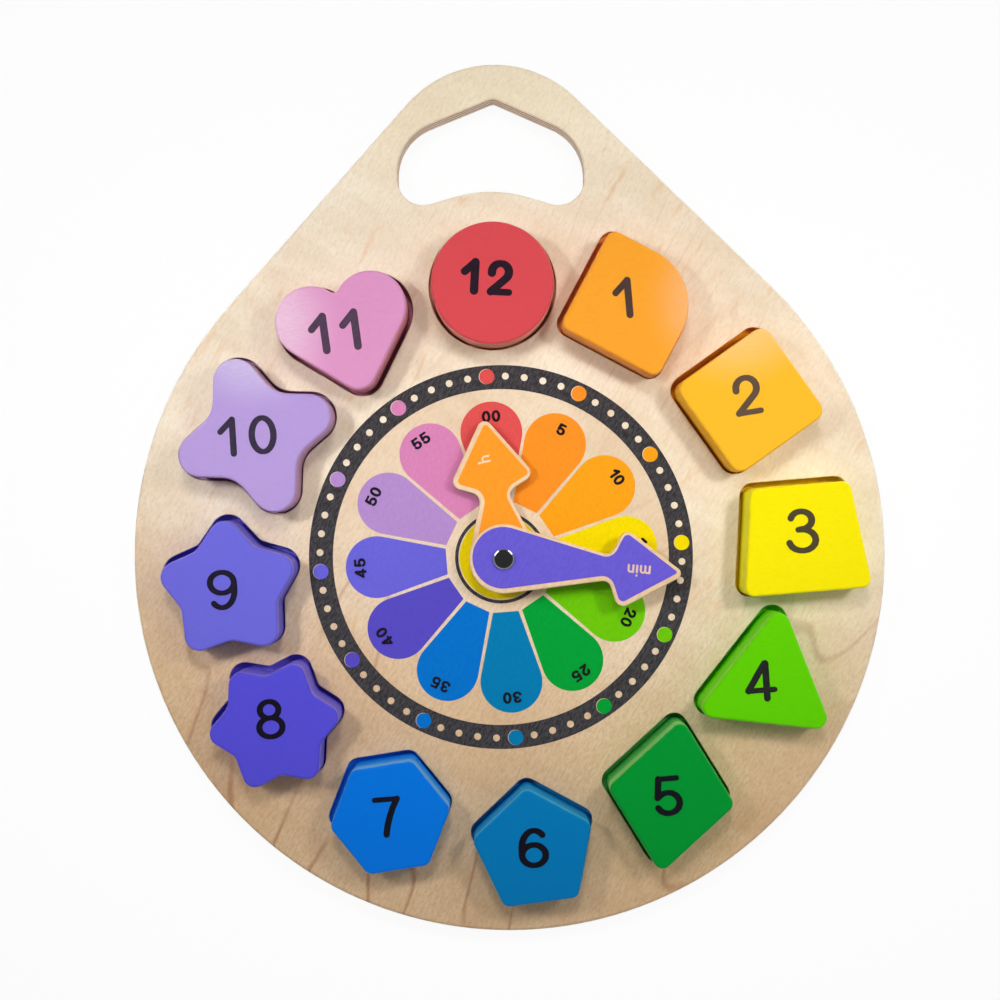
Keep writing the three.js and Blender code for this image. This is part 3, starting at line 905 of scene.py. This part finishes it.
# %% [markdown]
# The dial is printed on the board: a charcoal track with a bare dot for every minute, a larger dot
# in the hour's colour at every fifth, and twelve petals in the same colours. It stands a few
# millimetres and degrees off the board's own middle. What repeats round the dial is made with
# Geometry Nodes: one tree for the bare dots and one for the petal and dot of an hour.

# %% Sizes of the dial
dial_middle = (-3.03, -20.52)
dial_turn = 2.25
track_outer = 66.4
track_inner = 58.1
track_radius = 62.6
number_distance = 48.8
hub_middle = (-3.0, -20.7)
print_foot = face_z - print_depth
print_top = face_z + print_rise
print("print from", print_foot, "to", print_top, "mm")

# %% Helpers for Geometry Nodes
def shape_tree(name, inputs, build):
    """A geometry tree. Its build function gives a shape and the material that the shape gets."""
    def dressed(given):
        shape, finish = build(given)
        real = add_node("GeometryNodeRealizeInstances", {0: shape}).outputs[0]
        inputs = {"Geometry": real, "Material": finish}
        return {"Geometry": add_node("GeometryNodeSetMaterial", inputs).outputs[0]}

    return node_group(name, inputs, dressed, "GeometryNodeTree")


def vector(x=0.0, y=0.0, z=0.0):
    return add_node("ShaderNodeCombineXYZ", {0: x, 1: y, 2: z}).outputs[0]


def moved(geometry, place=(0, 0, 0), turn=(0, 0, 0)):
    inputs = {"Geometry": geometry, "Translation": place, "Rotation": turn}
    return add_node("GeometryNodeTransform", inputs).outputs[0]


def joined(*parts):
    join = parts[0].id_data.nodes.new("GeometryNodeJoinGeometry")
    for part in parts:
        feed(part, join.inputs[0])
    return join.outputs[0]


def ring_of_points(count, radius):
    return add_node("GeometryNodeMeshCircle", {"Vertices": count, "Radius": radius}).outputs[0]


def round_dot(sides, radius, thickness):
    inputs = {"Vertices": sides, "Radius": radius, "Depth": thickness}
    return add_node("GeometryNodeMeshCylinder", inputs).outputs[0]


def grown(name, tree, values, body):
    """Evaluates a tree with its input values and keeps the result as a plain mesh"""
    holder = shown(name, bpy.data.meshes.new(name))
    modifier = holder.modifiers.new(name, "NODES")
    modifier.node_group = tree
    sockets = {item.name: item.identifier for item in tree.interface.items_tree if item.in_out == "INPUT"}
    for label, value in values.items():
        modifier[sockets[label]] = value
    graph = bpy.context.evaluated_depsgraph_get()
    mesh = bpy.data.meshes.new_from_object(holder.evaluated_get(graph), depsgraph=graph)
    holder.modifiers.clear()
    holder.data = mesh
    mesh.name = name
    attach(holder, body)
    print(name, len(mesh.polygons), "faces")


# %% Tree of the minute dots
def build_minute_dots(given):
    track = ring_of_points(60, given["Track Radius"])
    dot = round_dot(28, 1.0, given["Thickness"])
    index = add_node("GeometryNodeInputIndex", {}, given["Turn"].id_data).outputs[0]
    fifth = maths("LESS_THAN", maths("MODULO", index, 5.0), 0.5)
    gain = minus(given["Fifth Dot Radius"], given["Dot Radius"])
    radius = plus(given["Dot Radius"], times(fifth, gain))
    inputs = {"Points": track, "Instance": dot, "Scale": vector(radius, radius, 1.0)}
    dots = add_node("GeometryNodeInstanceOnPoints", inputs).outputs[0]
    return moved(dots, given["Middle"], vector(z=given["Turn"])), given["Finish"]


minute_tree = shape_tree("minute_dots", {
    "Middle": "Vector", "Turn": "Float", "Track Radius": "Float", "Dot Radius": "Float",
    "Fifth Dot Radius": "Float", "Thickness": "Float", "Finish": "Material",
}, build_minute_dots)

# %% Tree of an hour's petal and dot
def build_hour_print(given):
    thickness = given["Thickness"]
    end = ring_of_points(72, given["End Radius"])
    end = moved(end, vector(y=given["End Distance"]))
    left = times(times(given["Foot Width"], 0.5), -1.0)
    inputs = {
        "Count": 2, "Start Location": vector(left, given["Foot Distance"]),
        "Offset": vector(given["Foot Width"]),
    }
    rim = joined(end, add_node("GeometryNodeMeshLine", inputs).outputs[0])
    lifted = moved(rim, vector(z=thickness))
    petal = add_node("GeometryNodeConvexHull", {0: joined(rim, lifted)}).outputs[0]
    dot = round_dot(40, given["Dot Radius"], thickness)
    dot = moved(dot, vector(y=given["Dot Distance"], z=given["Dot Lift"]))
    angle = minus(given["Turn"], times(given["Hour"], math.tau / 12))
    whole = moved(joined(petal, dot), given["Middle"], vector(z=angle))
    return whole, given["Ink"]


hour_tree = shape_tree("hour_print", {
    "Hour": "Float", "Middle": "Vector", "Turn": "Float", "End Radius": "Float",
    "End Distance": "Float", "Foot Distance": "Float", "Foot Width": "Float",
    "Dot Radius": "Float", "Dot Distance": "Float", "Dot Lift": "Float",
    "Thickness": "Float", "Ink": "Material",
}, build_hour_print)

# %% Charcoal track with its dots
rims = [circle(dial_middle, radius, 2.0) for radius in (track_outer, track_inner)]
film("minute_track", print_foot, print_top, rims[:1], charcoal, "board", rims[1:])
grown("minute_dots", minute_tree, {
    "Middle": (dial_middle[0] * MM, dial_middle[1] * MM, (print_top + 0.01) * MM),
    "Turn": math.radians(dial_turn + 90), "Track Radius": track_radius * MM, "Dot Radius": 1.2 * MM,
    "Fifth Dot Radius": 2.66 * MM, "Thickness": 0.04 * MM, "Finish": maple,
}, "board")

# %% [markdown]
# The colours were printed a hair to the right of the bare dots, so that each coloured dot leaves a
# thin bare crescent on its left.

# %% Petals and coloured dots
slip_x, slip_y = 0.16, -0.05
petal_place = ((dial_middle[0] + slip_x) * MM, (dial_middle[1] + slip_y) * MM, print_foot * MM)
for i, hour in enumerate(hour_colours):
    grown(f"hour_print_{hour}", hour_tree, {
        "Hour": float(i), "Middle": petal_place, "Turn": math.radians(dial_turn),
        "End Radius": 10.7 * MM, "End Distance": 43.25 * MM, "Foot Distance": 19.0 * MM,
        "Foot Width": 8.9 * MM, "Dot Radius": 2.6 * MM, "Dot Distance": track_radius * MM,
        "Dot Lift": 0.13 * MM, "Thickness": 0.08 * MM, "Ink": inks[hour],
    }, "board")


# %% Hub ring, hub disc and dial numbers
outer, inner, disc = [circle(hub_middle, radius) for radius in (15.9, 14.75, 14.35)]
film("hub_ring", print_foot, print_top, [outer], charcoal, "board", [inner])
film("hub_disc", print_foot, print_top - 0.01, [disc], inks["03"], "board")
pills = []
for i in range(12):
    text = str(5 * i) if i else "00"
    turn = dial_turn - 30 * i
    x, y = polar(number_distance, turn + 90)
    slip = 0 if i else 0.5
    x, y = x + dial_middle[0] + slip, y + dial_middle[1]
    pills += lettering(text, x, y, turn, height=4.1, stroke=0.88, gap=0.42)
film("dial_numbers", print_top - 0.02, print_top + 0.03, pills, numeral_ink, "board")

# %% [markdown]
# Each hand is a thin wooden arrow, cut from ply, with its colour printed on the top and a narrow
# bare margin left round it. The print stands slightly to one side, as on the real toy. A plain unit
# sign is left bare in the print. A row holds the node, the outline, the turn, where the print has
# slipped to, its margin, colour and slot, and the sign with its place, turn and height.

# %% Hands
hub_radius = 11.8
barb_curve = 3
hand_foot_edge = 0.2
hand_edge = 0.5


def hand_outline(reach, neck, curve, head, barb_reach, sweep, tip):
    barb = [barb_reach - barb_curve, reach - head + sweep, barb_curve]
    side = [[neck + curve, reach - head, -curve], barb]
    return [[0, 0, hub_radius], *side, [0, reach - tip, tip], *mirrored(side)]


dial_radius = ring_radius - share(1.15) - 3
minute_reach = dial_radius - 6
hand_rows = [
    ("hour_hand", hand_outline(minute_reach - 13, 5.4, 3.4, 26.9, 13.4, 7.7, 2.6), 6.0, (0.35, 0.1),
     1.45, (252, 154, 40), "hour_paint", "h", (-1.9, 34.6), 95, 4.6),
    ("minute_hand", hand_outline(minute_reach, 4.65, 3, 26.1, 12.6, 7.3, 2), -97.2, (-0.4, -0.2),
     1.3, (104, 90, 206), "minute_paint", "min", (0.3, 46.2), -90, 4.4),
]
for node, outline, turn, slip, margin, ink, slot, sign, sign_place, sign_turn, sign_height in hand_rows:
    low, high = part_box(node)
    bottom, top = low.z / MM, high.z / MM
    discs = placed(outline, *pivot, turn)
    bm = bmesh.new()
    add_wall(bm, discs, levels(bottom, top, hand_foot_edge, hand_edge, 4))
    add_wall(bm, bore, levels(bottom, top), hole=True)
    add_cap(bm, bottom, [belt(discs, -hand_foot_edge - flat_band)], [belt(bore)], up=False)
    add_cap(bm, top, [belt(discs, -hand_edge - flat_band)], [belt(bore)])
    piece(node + "_wood", bm, [hand_wood], node, [node])
    shifted = belt(placed(placed(outline, *slip), *pivot, turn), -margin)
    hand_ink = printed("ink_" + node, colour(*ink), colour(*[0.95 * value for value in ink]))
    film(node + "_print", top - print_depth, top + 0.04, [shifted], hand_ink, node, [belt(bore, 0.6)])
    [(x, y, radius)] = placed([[*sign_place, 0]], *pivot, turn)
    pills = lettering(sign, x, y, turn + sign_turn, sign_height, stroke=0.62, gap=0.34)
    film(node + "_sign", top + 0.02, top + 0.06, pills, hand_wood, node)


# %% [markdown]
# One rivet with a polished domed head holds the hands. It is turned round its axis from a half
# profile. Steel washers between the pieces stay as the CAD made them, with a better finish.

# %% Metal finishes
def metal(name, tint, dull, scratch):
    material, shader, place, grain = open_material(name)
    shader.inputs["Metallic"].default_value = 1.0
    marks = grain_noise(place["Object"], 400.0, 400.0, 3.0)
    base = mixed(times(marks, 0.25), tint, colour(150, 150, 154))
    close_material(shader, base, graded(marks, 0.3, 0.7, dull, dull + 0.1), marks, scratch)
    return material


chrome = metal("chromed_rivet", colour(236, 236, 240), 0.05, 0.02)
steel = metal("steel_washer", colour(200, 200, 204), 0.3, 0.1)
for node in ("spacer_washer", "middle_washer", "tail_washer"):
    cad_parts[node].material_slots[0].material = steel
print("metal finishes:", chrome.name, steel.name)

# %% Rivet
def turned(bm, profile, sides=72):
    """A closed shape turned round the pivot, from pairs of radius and height up its outside"""
    rings = []
    for radius, height in profile:
        points = [polar(radius, 360 * i / sides) for i in range(sides)]
        rings.append([add_corner(bm, x + pivot[0], y + pivot[1], height) for x, y in points])
    add_rings(bm, rings)


low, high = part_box("rivet")
shank, tail_radius, dome_radius, dome_rise = 2, 3.4, 3.5, 1.45
tail, crown = low.z / MM, high.z / MM
rim_z = crown - dome_rise
ball = (dome_radius ** 2 + dome_rise ** 2) / (2 * dome_rise)
spread = math.asin(dome_radius / ball)
profile = [
    (0, tail), (tail_radius - 0.4, tail), (tail_radius, tail + 0.4), (tail_radius, tail + 0.9),
    (shank, tail + 0.9), (shank, rim_z - 0.4), (dome_radius - 0.15, rim_z - 0.4), (dome_radius, rim_z - 0.25),
]
for k in range(13):
    angle = spread * (1 - k / 12)
    profile.append((ball * math.sin(angle), crown - ball * (1 - math.cos(angle))))
bm = bmesh.new()
turned(bm, profile)
piece("polished_rivet", bm, [chrome], "board", ["rivet"])

# %% [markdown]
# The photograph looks straight down from a little over half a metre, with the board turned a couple
# of degrees. A camera with no tilt, turned the other way, gives the same picture.

# %% Camera
camera_data = bpy.data.cameras.new("above")
camera_data.sensor_width = 36
half_view = math.radians(16.66)
camera_data.lens = camera_data.sensor_width / 2 / math.tan(half_view)
camera_data.clip_start = 0.01
camera = shown("above", camera_data)
camera.location = (-0.00254, -0.0008, 0.588)
camera.rotation_euler = (0, 0, math.radians(-2.35))
bpy.context.scene.camera = camera
bpy.context.scene.view_settings.view_transform = "Standard"
print("lens", round(camera_data.lens, 2))

# %% [markdown]
# Two small soft lamps stand high to the left and right, each with a narrow beam on its own half of
# the board, and a third at the head, so that shadows fall inwards and towards the foot. Three wide
# ones stand low, to the left, to the right and in front: they light the sides of the blocks.
# The lamps don't show in reflections, which would veil the dark inks. Two low bright cards do
# instead: they give the rivet the pair of glints along its rim.

# %% Lamps and cards
def aimed(made, place, aim):
    made.location = place
    made.rotation_euler = (Vector(aim) - Vector(place)).to_track_quat("-Z", "Y").to_euler()


def soft_lamp(name, place, aim, size, power, spread=180):
    """A round softbox that reflections don't show. Its spread is in degrees."""
    data = bpy.data.lights.new(name, "AREA")
    data.shape = "DISK"
    data.size = size
    data.energy = power
    data.spread = math.radians(spread)
    lamp = shown(name, data)
    aimed(lamp, place, aim)
    lamp.visible_glossy = False


def sheet(name, size, segments=1):
    """A flat square in the scene"""
    bm = bmesh.new()
    bmesh.ops.create_grid(bm, x_segments=segments, y_segments=segments, size=size)
    mesh = bpy.data.meshes.new(name)
    bm.to_mesh(mesh)
    bm.free()
    return shown(name, mesh)


def bright_card(name, place, aim, wide, high, strength):
    """A card that only reflections show"""
    card = sheet(name, 0.5)
    aimed(card, place, aim)
    card.scale = (wide, high, 1)
    for ray in ("camera", "diffuse", "transmission", "shadow"):
        setattr(card, "visible_" + ray, False)
    material = bpy.data.materials.new(name)
    material.use_nodes = True
    tree = material.node_tree
    glow = add_node("ShaderNodeEmission", {"Color": white, "Strength": strength}, tree)
    tree.links.new(glow.outputs[0], tree.nodes["Material Output"].inputs["Surface"])
    card.data.materials.append(material)


soft_lamp("left_softbox", (-0.30, 0.13, 0.5), (-0.07, 0.01, 0), 0.09, 0.112, 50)
soft_lamp("right_softbox", (0.31, 0.13, 0.5), (0.08, 0.0, 0), 0.09, 0.111, 50)
soft_lamp("head_softbox", (0.0, 0.42, 0.84), (0, 0, 0), 0.17, 2.5)
soft_lamp("front_softbox", (0.1, -0.75, 0.42), (0, 0.02, 0), 0.5, 0.5)
soft_lamp("left_low_softbox", (-0.75, 0.05, 0.42), (0, 0, 0), 0.5, 0.28)
soft_lamp("right_low_softbox", (0.75, 0.05, 0.42), (0, 0, 0), 0.5, 0.8)
bright_card("left_card", (-0.44, 0.36, 0.11), (0, 0, 0.02), 0.4, 0.15, 1.8)
bright_card("right_card", (0.43, 0.37, 0.11), (0, 0, 0.02), 0.36, 0.15, 1.8)
print("lamps", len(bpy.data.lights), "and two cards")

# %% World: even fill, white to the camera, and dim overhead in reflections
fill = 0.2
world = bpy.data.worlds.new("studio")
bpy.context.scene.world = world
world.use_nodes = True
tree = world.node_tree
background = tree.nodes["Background"].inputs
background["Color"].default_value = white
ray = tree.nodes.new("ShaderNodeLightPath").outputs
up = along_axis(tree.nodes.new("ShaderNodeTexCoord").outputs["Generated"], "Z")
walls = graded(up, 0.0, 0.25, 0.45, 0.03)
glossy = times(ray["Is Glossy Ray"], minus(walls, fill))
seen = maths("MAXIMUM", ray["Is Camera Ray"], ray["Is Transmission Ray"])
feed(maths("MAXIMUM", plus(fill, glossy), seen), background["Strength"])
print("fill", fill)

# %% [markdown]
# The floor is a wide white sheet. To the camera most of its white is its own, so that it matches
# the plain background, and the rest is lit, so that it keeps the shadow of the board. Far from
# the board all of it is its own, so that no edge shows against the background.

# %% Floor
floor = sheet("floor", 4.0, 8)
floor.data.transform(Matrix.Translation((0, 0, -0.0004)))
material, shader, place, grain = open_material("white_floor")
tree = material.node_tree
floor.data.materials.append(material)
shade = graded(noise(place["Object"], 30.0), 0.0, 1.0, 0.985, 1.0)
tint = mixed(shade, (0.88, 0.88, 0.88, 1), (0.9, 0.9, 0.9, 1))
close_material(shader, tint, 0.9, shade, 0.0)
ray = tree.nodes.new("ShaderNodeLightPath").outputs
seen = maths("MAXIMUM", ray["Is Camera Ray"], ray["Is Glossy Ray"])
own = add_node("ShaderNodeEmission", {"Color": white, "Strength": 1.0}, tree)
own_share = graded(distance_to(place["Object"]), 0.35, 1.6, 0.93, 1.0)
inputs = {0: times(seen, own_share), 1: shader.outputs[0], 2: own.outputs[0]}
both = add_node("ShaderNodeMixShader", inputs)
tree.links.new(both.outputs[0], tree.nodes["Material Output"].inputs["Surface"])
print("floor", material.name)
